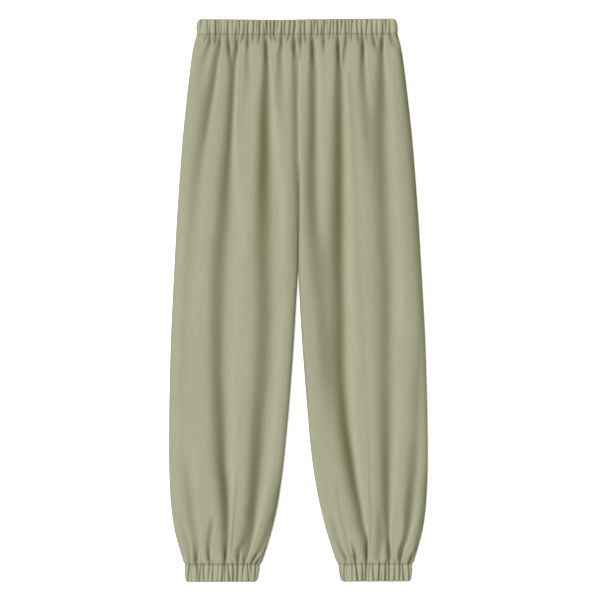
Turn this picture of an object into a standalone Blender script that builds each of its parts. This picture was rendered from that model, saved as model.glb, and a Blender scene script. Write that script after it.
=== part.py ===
"""Balloon trousers with a gathered elastic waist and gathered elastic cuffs, laid flat on their back.

Metres, +Z up. The waist points to +Y, the front faces +Z and the wearer's left leg lies at +X.
The origin lies on the surface under the garment, in the middle of its outline.
A place on the garment is given by two sizes: down, measured from the waistband's top edge
towards the hems, and across, measured from the centre seams, positive on the wearer's left.
"""

import math
from collections import namedtuple

import bmesh
import bpy

# Driving sizes of the garment as it lies
LENGTH = 1.000
WAISTBAND_HEIGHT = 0.0275
CUFF_HEIGHT = 0.0315
CROTCH_DOWN = 0.278
SEAM_GAP = 0.0003

# Walls of the cloth and of the casings, which hold a flat elastic
CLOTH_WALL = 0.0016
CASING_WALL = 0.0018

# Heights above the surface: the gathered rings, the side seams and the fullest part of the legs
RING_HEIGHT = 0.014
SEAM_HEIGHT = RING_HEIGHT / 2
LEG_HEIGHT = 0.0168

# How far in from an edge the front and the back round over, at the rings and at the fullest part
RING_EDGE = 0.008
SIDE_EDGE = 0.032
INSEAM_EDGE = 0.024
BACK_EDGE = 0.014

# Length over which the legs fill out below the waistband and above the cuffs
FILL_LENGTH = 0.150

# Half the length over which the centre seams open out into the two inseams
CROTCH_BLEND = 0.050

# Gathers: waves along the front half of each ring, and as many along its back half
WAIST_WAVES = 42
CUFF_WAVES = 15
GATHER_DEPTH = 0.0026
RING_END_DEPTH = 0.5

# Shares of a gather's own width: half its floor, half its mouth, how far it strays and how far it leans
GATHER_FLOOR = 0.10
GATHER_MOUTH = 0.28
GATHER_STRAY = 0.08
GATHER_LEAN = 0.14
GATHERS_LEANING_TOGETHER = 5
GATHER_DEPTH_SPREAD = 0.12

# Two waves of chance by which neighbouring gathers differ: share, turn from one to the next, family's share
UNEVEN_WAVES = ((0.6, 2.4, 1), (0.4, 5.7, 2))

# A family's number sets the chances of one ring's gathers apart from another's. A cuff's goes by its side.
WAIST_FAMILY = 0
CUFF_FAMILY = {-1: 2, 1: 4}
BACK_FAMILY_STEP = 7
DEPTH_FAMILY_STEP = 5

# A fold's shaded side is the steeper one, by this share of its open side's width, and passes so far
# from the fold's bottom. A fold that runs out of a gather starts as wide as the gather.
STEEP_SHARE = 0.45
SHADE_FROM_BOTTOM = 0.7
GATHER_FOLD_WIDTH = 0.0065
DEEPEST_FOLD = 0.0074
DEEPEST_BACK_FOLD = 0.0018
RESTING_DEPTH = 0.0002

SHARP_ANGLE = math.radians(50)
CLOTH_COLOUR = (0.330, 0.333, 0.235, 1.0)
CLOTH_ROUGHNESS = 0.75

Outline = namedtuple("Outline", "down outer inner")
OUTLINE = (
    Outline(0.0275, 0.1790, 0.0000),
    Outline(0.0540, 0.1856, 0.0000),
    Outline(0.1070, 0.1927, 0.0000),
    Outline(0.2140, 0.2043, 0.0000),
    Outline(0.3560, 0.2149, 0.0000),
    Outline(0.4360, 0.2193, 0.0000),
    Outline(0.5690, 0.2262, 0.0071),
    Outline(0.6760, 0.2292, 0.0151),
    Outline(0.7820, 0.2302, 0.0249),
    Outline(0.8530, 0.2276, 0.0355),
    Outline(0.9000, 0.2222, 0.0460),
    Outline(0.9300, 0.2152, 0.0550),
    Outline(0.9560, 0.2066, 0.0640),
    Outline(0.9685, 0.2014, 0.0692),
)

# The two edges of each gathered ring, at its top, middle and bottom. Its gathers start straight at the
# stitching, and lean away from it by a share of their full lean.
RingRow = namedtuple("RingRow", "down outer inner depth lean")
WAISTBAND_ROWS = (
    RingRow(0.0000, 0.1768, -0.1768, 0.85, 1.0),
    RingRow(0.0140, 0.1792, -0.1792, 1.00, 0.4),
    RingRow(WAISTBAND_HEIGHT, 0.1786, -0.1786, 0.90, 0.0),
)
CUFF_ROWS = (
    RingRow(LENGTH - CUFF_HEIGHT + SEAM_GAP, 0.2012, 0.0694, 0.90, 0.0),
    RingRow(LENGTH - CUFF_HEIGHT / 2, 0.2006, 0.0712, 1.00, 0.4),
    RingRow(LENGTH, 0.1990, 0.0745, 0.85, 1.0),
)

# Folds of the front. Each starts at a gather of the waistband, at a gather of a cuff, or in the cloth.
# A station is where its shaded side passes: down, across, depth and the width of its open side.
Fold = namedtuple("Fold", "name waist_gather stations cuff_gather")
RIGHT_FOLDS = (
    Fold("short gather by the side", 2, ((0.060, -0.160, 0.0, 0.008),), None),
    Fold("side fold", 4, ((0.079, -0.150, 0.0042, 0.014), (0.196, -0.171, 0.0030, 0.022),
                          (0.400, -0.196, 0.0010, 0.020), (0.620, -0.204, 0.0, 0.018)), None),
    Fold("branch of the outer long fold", 6, ((0.085, -0.121, 0.0, 0.008),), None),
    Fold("outer long fold", 7, ((0.079, -0.118, 0.0050, 0.016), (0.250, -0.129, 0.0062, 0.030),
                                (0.516, -0.144, 0.0072, 0.036), (0.729, -0.141, 0.0075, 0.032),
                                (0.871, -0.132, 0.0070, 0.024)), 7),
    Fold("fading gather", 10, ((0.107, -0.091, 0.0014, 0.014), (0.170, -0.094, 0.0, 0.016)), None),
    Fold("short gather", 12, ((0.062, -0.071, 0.0, 0.008),), None),
    Fold("inner long fold", 14, ((0.079, -0.060, 0.0058, 0.018), (0.250, -0.063, 0.0078, 0.030),
                                 (0.516, -0.063, 0.0074, 0.036), (0.729, -0.073, 0.0072, 0.032),
                                 (0.871, -0.084, 0.0068, 0.024)), 10),
    Fold("short gather by the centre", 15, ((0.056, -0.045, 0.0, 0.008),), None),
    Fold("fading gather by the centre", 17, ((0.107, -0.034, 0.0016, 0.014),
                                             (0.175, -0.033, 0.0, 0.016)), None),
    Fold("crotch fold", 19, ((0.100, -0.008, 0.0028, 0.012), (0.240, -0.011, 0.0034, 0.014),
                             (0.330, -0.008, 0.0, 0.012)), None),
    Fold("cuff fold by the side", None, ((0.800, -0.198, 0.0, 0.014), (0.898, -0.190, 0.0030, 0.012)), 2),
    Fold("short cuff fold", None, ((0.880, -0.154, 0.0, 0.012), (0.935, -0.161, 0.0032, 0.010)), 4),
    Fold("cuff fold by the inseam", None, ((0.790, -0.036, 0.0, 0.016),
                                           (0.905, -0.052, 0.0034, 0.014)), 13),
)
LEFT_FOLDS = (
    Fold("short gather at the centre", 21, ((0.075, 0.004, 0.0, 0.008),), None),
    Fold("centre fold", 23, ((0.079, 0.024, 0.0046, 0.014), (0.220, 0.022, 0.0050, 0.020),
                             (0.356, 0.024, 0.0034, 0.020), (0.500, 0.036, 0.0, 0.022)), None),
    Fold("short gather", 26, ((0.085, 0.046, 0.0, 0.010),), None),
    Fold("inner long fold", 28, ((0.079, 0.069, 0.0054, 0.018), (0.250, 0.069, 0.0078, 0.028),
                                 (0.516, 0.069, 0.0084, 0.036), (0.676, 0.074, 0.0080, 0.034),
                                 (0.836, 0.097, 0.0066, 0.024)), 6),
    Fold("short gather by the long fold", 30, ((0.095, 0.078, 0.0, 0.008),), None),
    Fold("middle gather", 32, ((0.080, 0.095, 0.0008, 0.012), (0.130, 0.097, 0.0, 0.012)), None),
    Fold("fading gather", 34, ((0.107, 0.111, 0.0028, 0.014), (0.190, 0.118, 0.0, 0.018)), None),
    Fold("short gather by the outer fold", 36, ((0.062, 0.135, 0.0, 0.008),), None),
    Fold("outer long fold", 38, ((0.079, 0.146, 0.0046, 0.016), (0.250, 0.144, 0.0060, 0.030),
                                 (0.516, 0.150, 0.0066, 0.034), (0.782, 0.153, 0.0068, 0.028),
                                 (0.898, 0.157, 0.0060, 0.020)), 10),
    Fold("side gather", 40, ((0.066, 0.177, 0.0020, 0.014), (0.180, 0.194, 0.0, 0.020)), None),
    Fold("cuff fold by the inseam", None, ((0.850, 0.054, 0.0, 0.012), (0.924, 0.069, 0.0028, 0.012)), 1),
    Fold("short cuff fold", None, ((0.915, 0.094, 0.0, 0.010), (0.945, 0.098, 0.0030, 0.009)), 4),
    Fold("cuff fold by the side", None, ((0.740, 0.206, 0.0, 0.018), (0.880, 0.195, 0.0046, 0.016)), 12),
)

# Folds of the back, seen from behind: gentler, and each a channel between stretches that rest flat
RIGHT_BACK_FOLDS = (
    Fold("side fold", 5, ((0.250, -0.166, 0.0020, 0.013), (0.560, -0.186, 0.0, 0.012)), None),
    Fold("outer long fold", 9, ((0.300, -0.112, 0.0024, 0.016), (0.700, -0.122, 0.0024, 0.016)), 5),
    Fold("short gather", 12, ((0.120, -0.078, 0.0, 0.010),), None),
    Fold("inner long fold", 16, ((0.260, -0.048, 0.0022, 0.015), (0.640, -0.072, 0.0022, 0.016)), 10),
    Fold("cuff fold", None, ((0.820, -0.186, 0.0, 0.010),), 2),
)
LEFT_BACK_FOLDS = (
    Fold("short gather", 22, ((0.150, 0.018, 0.0, 0.010),), None),
    Fold("inner long fold", 26, ((0.280, 0.060, 0.0024, 0.015), (0.660, 0.086, 0.0022, 0.016)), 5),
    Fold("outer long fold", 34, ((0.240, 0.122, 0.0022, 0.016), (0.700, 0.144, 0.0024, 0.016)), 10),
    Fold("side fold", 38, ((0.200, 0.166, 0.0020, 0.013), (0.500, 0.188, 0.0, 0.012)), None),
    Fold("cuff fold", None, ((0.840, 0.184, 0.0, 0.010),), 13),
)

# Sections down the front and the back, closer together where the gathers run out
FRONT_SECTIONS = (0.038, 0.055, 0.080, 0.115, 0.160, 0.215, 0.278, 0.335, 0.400, 0.470,
                  0.540, 0.610, 0.680, 0.750, 0.810, 0.860, 0.900, 0.930, 0.952)
BACK_SECTIONS = (0.060, 0.120, 0.200, 0.278, 0.335, 0.420, 0.520, 0.620, 0.720, 0.820, 0.890, 0.940)
FRONT_COLUMNS = 25
BACK_COLUMNS = 17
INSEAM_STEPS = 3
SIDE_STEPS = 4

PANELS_TOP = WAISTBAND_HEIGHT + SEAM_GAP
PANELS_BOTTOM = LENGTH - CUFF_HEIGHT


def along_length(down):
    """The place on the Y axis of a point that lies this far below the waistband's top edge."""
    return LENGTH / 2 - down


def smooth_step(share):
    """A share from 0 to 1 that starts and ends gently."""
    share = min(1.0, max(0.0, share))
    return share * share * (3 - 2 * share)


def unevenness(number, family):
    """A repeatable share from -1 to 1, by which neighbouring gathers differ."""
    return sum(share * math.sin(turn * number + part * family) for share, turn, part in UNEVEN_WAVES)


def through(rows, at, column):
    """A table column's value on a smooth curve through its rows, whose first column says where they lie."""
    rows = tuple(rows)
    if at <= rows[0][0] or len(rows) == 1:
        return rows[0][column]
    if at >= rows[-1][0]:
        return rows[-1][column]
    low = max(i for i in range(len(rows) - 1) if rows[i][0] <= at)
    slopes = []
    for i in (low, low + 1):
        before, after = rows[max(0, i - 1)], rows[min(len(rows) - 1, i + 1)]
        slopes.append((after[column] - before[column]) / (after[0] - before[0]))
    span = rows[low + 1][0] - rows[low][0]
    t = (at - rows[low][0]) / span
    start = (1 + 2 * t) * (1 - t) ** 2 * rows[low][column] + t * (1 - t) ** 2 * span * slopes[0]
    end = t * t * (3 - 2 * t) * rows[low + 1][column] + t * t * (t - 1) * span * slopes[1]
    return start + end


def outer_edge(down):
    return through(OUTLINE, down, Outline._fields.index("outer"))


def inner_edge(down):
    return max(SEAM_GAP / 2, through(OUTLINE, down, Outline._fields.index("inner")))


def fullness(down):
    """0 at the gathered rings and 1 where the legs have filled out."""
    below_waist = smooth_step((down - PANELS_TOP) / FILL_LENGTH)
    above_cuff = smooth_step((PANELS_BOTTOM - down) / FILL_LENGTH)
    return below_waist * above_cuff


def leg_share(down):
    """0 where the two halves meet in the centre seams and 1 where each leg has its own inseam."""
    return smooth_step((down - CROTCH_DOWN + CROTCH_BLEND) / (2 * CROTCH_BLEND))


def rounded(distance, edge):
    """0 at an edge and 1 from the given distance inwards, on a quarter of an ellipse."""
    away = 1 - min(1.0, max(0.0, distance / edge))
    return math.sqrt(1 - away * away)


def gather_across(number, waves, low, high, family):
    """Where the front's gather of this number meets a ring's edge that runs from low to high."""
    share = (number + 0.5 + GATHER_STRAY * unevenness(number, family)) / waves
    flat = high - low - RING_HEIGHT
    whole = flat + math.pi * RING_HEIGHT / 2
    along = share * whole - math.pi * RING_HEIGHT / 4
    return low + RING_HEIGHT / 2 + min(flat, max(0.0, along))


def stations_of(fold, side):
    """A fold's stations, with those at the gathers that it starts and ends in."""
    rows = list(fold.stations)
    if fold.waist_gather is not None:
        edge = WAISTBAND_ROWS[-1]
        across = gather_across(fold.waist_gather, WAIST_WAVES, edge.inner, edge.outer, WAIST_FAMILY)
        rows.insert(0, (PANELS_TOP, across, GATHER_DEPTH, GATHER_FOLD_WIDTH))
    if fold.cuff_gather is not None:
        low, high = sorted((side * CUFF_ROWS[0].inner, side * CUFF_ROWS[0].outer))
        across = gather_across(fold.cuff_gather, CUFF_WAVES, low, high, CUFF_FAMILY[side])
        rows.append((PANELS_BOTTOM, across, GATHER_DEPTH, GATHER_FOLD_WIDTH))
    return rows


def fold_depth(folds, down, across, deepest):
    """How far the folds together draw the cloth in at a place. Each entry of folds is a list of stations."""
    depth = 0.0
    for rows in folds:
        if down < rows[0][0] or down > rows[-1][0]:
            continue
        shaded, deep, wide = (through(rows, down, column) for column in (1, 2, 3))
        steep = STEEP_SHARE * wide
        from_bottom = across - shaded - SHADE_FROM_BOTTOM * steep
        reach = steep if from_bottom < 0 else wide
        depth += max(0.0, deep) * math.exp(-((from_bottom / reach) ** 2))
    return deepest * math.tanh(depth / deepest) if depth > 0 else 0.0


def edge_positions(down, edge, inseam_edge, columns):
    """The distances from the centre plane of the points along a section, from the inner edge outwards."""
    inner, outer = inner_edge(down), outer_edge(down)
    positions = [
        inner + inseam_edge * (1 - math.cos(math.pi / 2 * step / INSEAM_STEPS))
        for step in range(INSEAM_STEPS)
    ]
    first, last = inner + inseam_edge, outer - edge
    positions += [first + (last - first) * step / columns for step in range(columns)]
    positions += [
        outer - edge * (1 - math.cos(math.pi / 2 * (SIDE_STEPS - step) / SIDE_STEPS))
        for step in range(SIDE_STEPS + 1)
    ]
    return positions


def front_section(down, side, folds):
    """The outer points of the front at one section, as (across, height)."""
    full, leg = fullness(down), leg_share(down)
    edge = RING_EDGE + full * (SIDE_EDGE - RING_EDGE)
    inseam_edge = RING_EDGE + full * (INSEAM_EDGE - RING_EDGE)
    top = RING_HEIGHT + full * (LEG_HEIGHT - RING_HEIGHT)
    lowest = SEAM_HEIGHT + SEAM_GAP / 2
    points = []
    for position in edge_positions(down, edge, inseam_edge, FRONT_COLUMNS):
        by_side = rounded(outer_edge(down) - position, edge)
        by_inseam = 1 - leg * (1 - rounded(position - inner_edge(down), inseam_edge))
        shape = by_side * by_inseam
        across = side * position
        height = lowest + (top - lowest) * shape
        height -= fold_depth(folds, down, across, DEEPEST_FOLD) * shape
        points.append((across, height))
    return points


def back_section(down, side, folds):
    """The outer points of the back at one section, as (across, height). Most of them rest on the surface."""
    full, leg = fullness(down), leg_share(down)
    edge = RING_EDGE + full * (BACK_EDGE - RING_EDGE)
    highest = SEAM_HEIGHT - SEAM_GAP / 2
    points = []
    for position in edge_positions(down, edge, edge, BACK_COLUMNS):
        by_side = 1 - rounded(outer_edge(down) - position, edge)
        by_inseam = leg * (1 - rounded(position - inner_edge(down), edge))
        across = side * position
        channel = max(0.0, fold_depth(folds, down, across, DEEPEST_BACK_FOLD) - RESTING_DEPTH)
        rounding = max(by_side, by_inseam)
        height = highest * rounding + channel * (1 - rounding)
        points.append((across, height))
    return points


def inset(points, wall, first_normal=None, last_normal=None):
    """The section's points moved in by the wall. Without end normals the section is a closed ring."""
    count = len(points)
    closed = first_normal is None
    moved = []
    for i, (x, z) in enumerate(points):
        if i == 0 and not closed:
            normal = first_normal
        elif i == count - 1 and not closed:
            normal = last_normal
        else:
            normal = (0.0, 0.0)
            for a, b in ((i - 1, i), (i, (i + 1) % count)):
                dx, dz = points[b][0] - points[a][0], points[b][1] - points[a][1]
                size = math.hypot(dx, dz)
                normal = (normal[0] - dz / size, normal[1] + dx / size)
        size = math.hypot(*normal)
        moved.append((x - wall * normal[0] / size, z - wall * normal[1] / size))
    return moved


def panel_rows(down, side, folds, front):
    """One section of a panel: its outer and inner points, running towards +X on the front."""
    points = front_section(down, side, folds) if front else back_section(down, side, folds)
    up = 1 if front else -1
    leg = leg_share(down)
    inner_normal = (-side * leg, up * (1 - leg))
    outer_normal = (float(side), 0.0)
    if side * up > 0:
        return points, inset(points, CLOTH_WALL, inner_normal, outer_normal)
    points.reverse()
    return points, inset(points, CLOTH_WALL, outer_normal, inner_normal)


def ring_row(row, low, high, waves, family):
    """One closed row of a gathered ring: crests on a flat loop and valleys drawn in, four points a gather."""
    radius = RING_HEIGHT / 2
    flat = high - low - RING_HEIGHT
    half = flat + math.pi * radius
    lean_turn = math.pi * round(waves / GATHERS_LEANING_TOGETHER) / waves
    corners = ((-GATHER_MOUTH, 0), (-GATHER_FLOOR, 1), (GATHER_FLOOR, 1), (GATHER_MOUTH, 0))
    points = []
    for back in (0, 1):
        for wave in range(waves):
            key = wave + back * waves
            middle = wave + 0.5 + GATHER_STRAY * unevenness(wave, family + BACK_FAMILY_STEP * back)
            middle += GATHER_LEAN * row.lean * math.sin(lean_turn * key + family)
            chance = GATHER_DEPTH_SPREAD * (unevenness(key, family + DEPTH_FAMILY_STEP) - 1)
            deep = GATHER_DEPTH * row.depth * (1 + chance)
            for offset, valley in corners:
                at = (middle + offset) / waves * half - math.pi * radius / 2
                turn = 1.0
                if at < 0:
                    angle = math.pi / 2 - at / radius
                    centre, turn = low + radius, RING_END_DEPTH
                elif at > flat:
                    angle = math.pi / 2 - (at - flat) / radius
                    centre, turn = high - radius, RING_END_DEPTH
                else:
                    angle, centre = math.pi / 2, low + radius + at
                reach = radius - valley * deep * turn
                across = centre + reach * math.cos(angle)
                rise = reach * math.sin(angle)
                if back:
                    points.append((low + high - across, 0.0 if rise == radius else radius - rise))
                else:
                    points.append((across, radius + rise))
    return points, inset(points, CASING_WALL)


def lofted_wall(name, downs, rows, closed, material, collection):
    """A closed wall lofted through sections. Each row holds as many outer points as inner ones."""
    mesh = bpy.data.meshes.new(name)
    shape = bmesh.new()
    outer, inner = (
        [
            [shape.verts.new((x, along_length(down), z)) for x, z in row[layer]]
            for down, row in zip(downs, rows)
        ]
        for layer in (0, 1)
    )
    count = len(outer[0])
    for i in range(len(downs) - 1):
        for j in range(count if closed else count - 1):
            k = (j + 1) % count
            shape.faces.new((outer[i][j], outer[i + 1][j], outer[i + 1][k], outer[i][k]))
            shape.faces.new((inner[i][j], inner[i][k], inner[i + 1][k], inner[i + 1][j]))
    for first, last in ((outer[0], inner[0]), (inner[-1], outer[-1])):
        for j in range(count if closed else count - 1):
            k = (j + 1) % count
            shape.faces.new((first[j], first[k], last[k], last[j]))
    if not closed:
        for i in range(len(downs) - 1):
            shape.faces.new((outer[i][0], inner[i][0], inner[i + 1][0], outer[i + 1][0]))
            shape.faces.new((outer[i][-1], outer[i + 1][-1], inner[i + 1][-1], inner[i][-1]))
    shape.to_mesh(mesh)
    shape.free()
    mesh.shade_smooth()
    mesh.set_sharp_from_angle(angle=SHARP_ANGLE)
    mesh.materials.append(material)
    piece = bpy.data.objects.new(name, mesh)
    collection.objects.link(piece)
    return piece


def make_panel(name, side, folds, front, material, collection):
    sections = (PANELS_TOP, *(FRONT_SECTIONS if front else BACK_SECTIONS), PANELS_BOTTOM)
    paths = [stations_of(fold, side) for fold in folds]
    rows = [panel_rows(down, side, paths, front) for down in sections]
    return lofted_wall(name, sections, rows, False, material, collection)


def make_ring(name, table, side, waves, family, material, collection):
    downs = [row.down for row in table]
    rows = []
    for row in table:
        low, high = sorted((side * row.inner, side * row.outer))
        rows.append(ring_row(row, low, high, waves, family))
    return lofted_wall(name, downs, rows, True, material, collection)


def cloth_material(name):
    material = bpy.data.materials.new(name)
    material.use_nodes = True
    surface = material.node_tree.nodes["Principled BSDF"]
    surface.inputs["Base Color"].default_value = CLOTH_COLOUR
    surface.inputs["Roughness"].default_value = CLOTH_ROUGHNESS
    surface.inputs["Metallic"].default_value = 0.0
    return material


def main():
    for thing in list(bpy.data.objects):
        bpy.data.objects.remove(thing)
    garment = bpy.data.collections.new("balloon_trousers")
    bpy.context.scene.collection.children.link(garment)
    panels = (
        ("front_right", -1, RIGHT_FOLDS, True),
        ("front_left", 1, LEFT_FOLDS, True),
        ("back_right", -1, RIGHT_BACK_FOLDS, False),
        ("back_left", 1, LEFT_BACK_FOLDS, False),
    )
    for name, side, folds, front in panels:
        make_panel(name, side, folds, front, cloth_material(name), garment)
    rings = (
        ("waistband", WAISTBAND_ROWS, 1, WAIST_WAVES, WAIST_FAMILY),
        ("cuff_right", CUFF_ROWS, -1, CUFF_WAVES, CUFF_FAMILY[-1]),
        ("cuff_left", CUFF_ROWS, 1, CUFF_WAVES, CUFF_FAMILY[1]),
    )
    for name, table, side, waves, family in rings:
        make_ring(name, table, side, waves, family, cloth_material(name), garment)


main()
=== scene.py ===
"""The looks of the balloon trousers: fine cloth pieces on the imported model's forms, laid flat on a pale floor.

Metres, +Z up, in the model's own frame. The waist points to +Y and the wearer's left leg lies at +X.
A place on the garment is given by down, from the waistband's top edge towards the hems, and across, from
the centre seams, positive on the wearer's left. Creases and gathers are listed in millimetres.
"""

import math
from collections import namedtuple

import bmesh
import bpy
import numpy as np
from mathutils import Matrix, Vector, noise


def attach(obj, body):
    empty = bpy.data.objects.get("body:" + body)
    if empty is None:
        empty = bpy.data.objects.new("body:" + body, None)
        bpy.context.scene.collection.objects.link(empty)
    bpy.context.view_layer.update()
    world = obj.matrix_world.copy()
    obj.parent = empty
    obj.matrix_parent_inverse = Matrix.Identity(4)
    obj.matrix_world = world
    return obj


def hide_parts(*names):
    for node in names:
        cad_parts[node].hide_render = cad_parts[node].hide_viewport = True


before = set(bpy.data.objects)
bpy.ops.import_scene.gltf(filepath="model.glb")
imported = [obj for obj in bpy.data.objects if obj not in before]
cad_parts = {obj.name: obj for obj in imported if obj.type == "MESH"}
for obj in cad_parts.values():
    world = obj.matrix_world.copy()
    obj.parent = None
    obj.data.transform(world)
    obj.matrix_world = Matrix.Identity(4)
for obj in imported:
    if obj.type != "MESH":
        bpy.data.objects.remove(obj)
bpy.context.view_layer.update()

MM = 0.001

# The garment's sizes, as in the model
LENGTH = 1.000
WAISTBAND_HEIGHT = 0.0275
CUFF_HEIGHT = 0.0315
CROTCH_DOWN = 0.278
CROTCH_BLEND = 0.050
SEAM_GAP = 0.00004
RING_HEIGHT = 0.014
SEAM_HEIGHT = RING_HEIGHT / 2
LEG_HEIGHT = 0.0172
RING_EDGE = 0.008
SIDE_EDGES = {-1: 0.024, 1: 0.042}
BACK_EDGE = 0.014
INSEAM_EDGES = {-1: 0.028, 1: 0.009}
FILL_LENGTH = 0.150
PANELS_TOP = WAISTBAND_HEIGHT - 0.0002
PANELS_BOTTOM = LENGTH - CUFF_HEIGHT + 0.0004

# Walls of the fine pieces, and how deep a fold may go at the rings and where the legs are full
CLOTH_WALL = 0.0007
CASING_WALL = 0.0013
DEEPEST_AT_RINGS = 0.0044
DEEPEST_IN_LEGS = 0.0070
DEEPEST_BACK_FOLD = 0.0018
DEEPEST_GATHER = 0.0043

# How far the folds, and the line where the two halves meet, lie towards the wearer's left
LEAN_AT_WAIST = 0.0040
LEAN_AT_HEMS = 0.0010
CENTRE_LEANS = (
    (0.0, 0.0040), (0.24, 0.0033), (0.31, 0.0023), (0.40, 0.0012), (0.50, 0.0), (0.70, -0.0004),
    (0.75, -0.0008), (0.82, -0.0004), (0.89, 0.0006), (1.0, 0.0008),
)

# Steps of the meshes
FRONT_GRID = (250, 196)
BACK_GRID = (150, 140)
WAIST_STEPS = 1400
CUFF_STEPS = 560
CASING_STEPS = 26

Outline = namedtuple("Outline", "down outer inner")
OUTLINE = (
    Outline(0.0275, 0.1790, 0.0000),
    Outline(0.0540, 0.1856, 0.0000),
    Outline(0.1070, 0.1927, 0.0000),
    Outline(0.2140, 0.2043, 0.0000),
    Outline(0.3560, 0.2149, 0.0000),
    Outline(0.4360, 0.2193, 0.0000),
    Outline(0.4635, 0.2209, 0.0012),
    Outline(0.5690, 0.2262, 0.0071),
    Outline(0.6760, 0.2292, 0.0151),
    Outline(0.7820, 0.2302, 0.0249),
    Outline(0.8530, 0.2276, 0.0355),
    Outline(0.9000, 0.2222, 0.0460),
    Outline(0.9300, 0.2154, 0.0546),
    Outline(0.9560, 0.2075, 0.0629),
    Outline(0.9640, 0.2052, 0.0660),
    Outline(0.9685, 0.2019, 0.0689),
)

# The two edges of each gathered ring, at its top, middle and bottom
RingRow = namedtuple("RingRow", "down outer inner")
WAISTBAND_ROWS = (
    RingRow(0.0000, 0.1768, -0.1768),
    RingRow(0.0140, 0.1792, -0.1792),
    RingRow(WAISTBAND_HEIGHT, 0.1786, -0.1786),
)
RIGHT_CUFF_ROWS = (
    RingRow(LENGTH - CUFF_HEIGHT + SEAM_GAP, 0.2029, 0.0690),
    RingRow(LENGTH - CUFF_HEIGHT / 2, 0.2031, 0.0710),
    RingRow(LENGTH, 0.2019, 0.0742),
)
LEFT_CUFF_ROWS = (
    RingRow(LENGTH - CUFF_HEIGHT + SEAM_GAP, 0.2018, 0.0694),
    RingRow(LENGTH - CUFF_HEIGHT / 2, 0.2013, 0.0715),
    RingRow(LENGTH, 0.1997, 0.0744),
)

# A gather of a ring's front, in millimetres: across at the free edge, half way and at the stitching, its depth
# at the edge and at the stitching, how far its tail goes on into the panel, and how far that drifts across
Gather = namedtuple("Gather", "edge middle seam edge_depth seam_depth tail drift")
WAIST_GATHERS = (
    Gather(-172.5, -175, -176, 3.0, 0.6, 0, 0), Gather(-162.6, -162.7, -163, 2.6, 2.2, 16, -6),
    Gather(-156, -158.6, -158.8, 0.6, 4.0, 26, 0), Gather(-147.9, -148.1, -148.1, 3.5, 4.2, 22, 0),
    Gather(-142.8, -142.9, -142.9, 2.9, 2.2, 5, 0), Gather(-138.1, -138, -139.1, 1.1, 3.2, 28, -4),
    Gather(-132.3, -132.3, -132.7, 0.6, 1.8, 4, 0), Gather(-126.5, -126.8, -127.2, 2.8, 4.4, 50, 6),
    Gather(-118, -118.2, -118.1, 2.5, 1.6, 8, 1), Gather(-112, -111.4, -112.3, 1.0, 4.0, 40, 2),
    Gather(-107.3, -106, -106.9, 4.0, 2.6, 5, 0), Gather(-97.5, -97.2, -98.7, 2.8, 3.8, 16, -4),
    Gather(-89.6, -91.2, -91.6, 2.8, 4.2, 26, 0), Gather(-80.8, -80.8, -81.9, 3.2, 3.2, 16, 0),
    Gather(-75.6, -75, -75.5, 2.1, 1.6, 4, 0), Gather(-70, -70.5, -70.4, 3.8, 4.2, 18, -1),
    Gather(-57.7, -57.6, -57.5, 4.4, 4.2, 4, 0), Gather(-63, -62.5, -61.4, 0.3, 4.2, 60, 3.5),
    Gather(-50.7, -50.4, -50.6, 3.3, 3.2, 14, 3), Gather(-43.3, -44.2, -45.4, 4.2, 4.4, 14, 5),
    Gather(-36.6, -38.6, -39.9, 2.6, 1.4, 4, 0), Gather(-30.7, -30.9, -31.2, 2.4, 4.4, 26, -1),
    Gather(-24, -25.7, -26, 3.2, 3.2, 6, 0), Gather(-15, -16.5, -17.1, 3.4, 3.7, 14, -4),
    Gather(-8, -8.3, -10, 3.9, 4.4, 44, 1.5), Gather(1, 0, -0.5, 1.6, 0.3, 0, 0),
    Gather(4.9, 3, 2.6, 2.6, 4.4, 24, 0), Gather(9.7, 9.9, 10, 3.2, 3.6, 18, 3),
    Gather(21.5, 22.1, 22.1, 2.6, 4.4, 60, 2), Gather(27.6, 27, 25.8, 3.6, 2.4, 4, 0),
    Gather(32.6, 32.8, 33.6, 3.0, 3.2, 12, -4), Gather(41.4, 40.7, 40, 1.0, 3.7, 5, 0),
    Gather(45.3, 44.6, 43.5, 3.6, 4.2, 28, 0.5), Gather(49.8, 50.3, 51.2, 2.2, 1.0, 3, 0),
    Gather(57.8, 55.6, 54.7, 2.6, 3.5, 12, -2), Gather(61.9, 61.3, 61, 2.8, 2.4, 12, 0),
    Gather(68.2, 68.2, 68, 3.8, 4.4, 60, 2.5), Gather(75.6, 75.3, 73, 3.6, 2.0, 3, 0),
    Gather(82.3, 82.4, 83.2, 3.2, 3.8, 26, -1), Gather(88.3, 88.3, 88.1, 2.6, 2.6, 5, 0),
    Gather(95.2, 93.3, 93, 3.5, 3.2, 14, -1), Gather(103.2, 102.7, 103.8, 2.5, 3.5, 18, 3),
    Gather(111.3, 111.1, 111.7, 2.1, 4.2, 55, 2), Gather(121.8, 120, 118.8, 3.6, 2.7, 14, 3),
    Gather(129.4, 129, 130, 2.6, 4.0, 34, 6), Gather(138.9, 137.7, 138.2, 2.0, 3.2, 12, 2),
    Gather(148.2, 148.4, 148.2, 2.4, 4.4, 40, -3), Gather(153.6, 153.7, 153.5, 3.6, 2.0, 3, 0),
    Gather(161, 160.7, 160.7, 1.7, 3.8, 22, 5), Gather(170.3, 172.6, 172.8, 2.5, 3.8, 10, 3),
)
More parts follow.
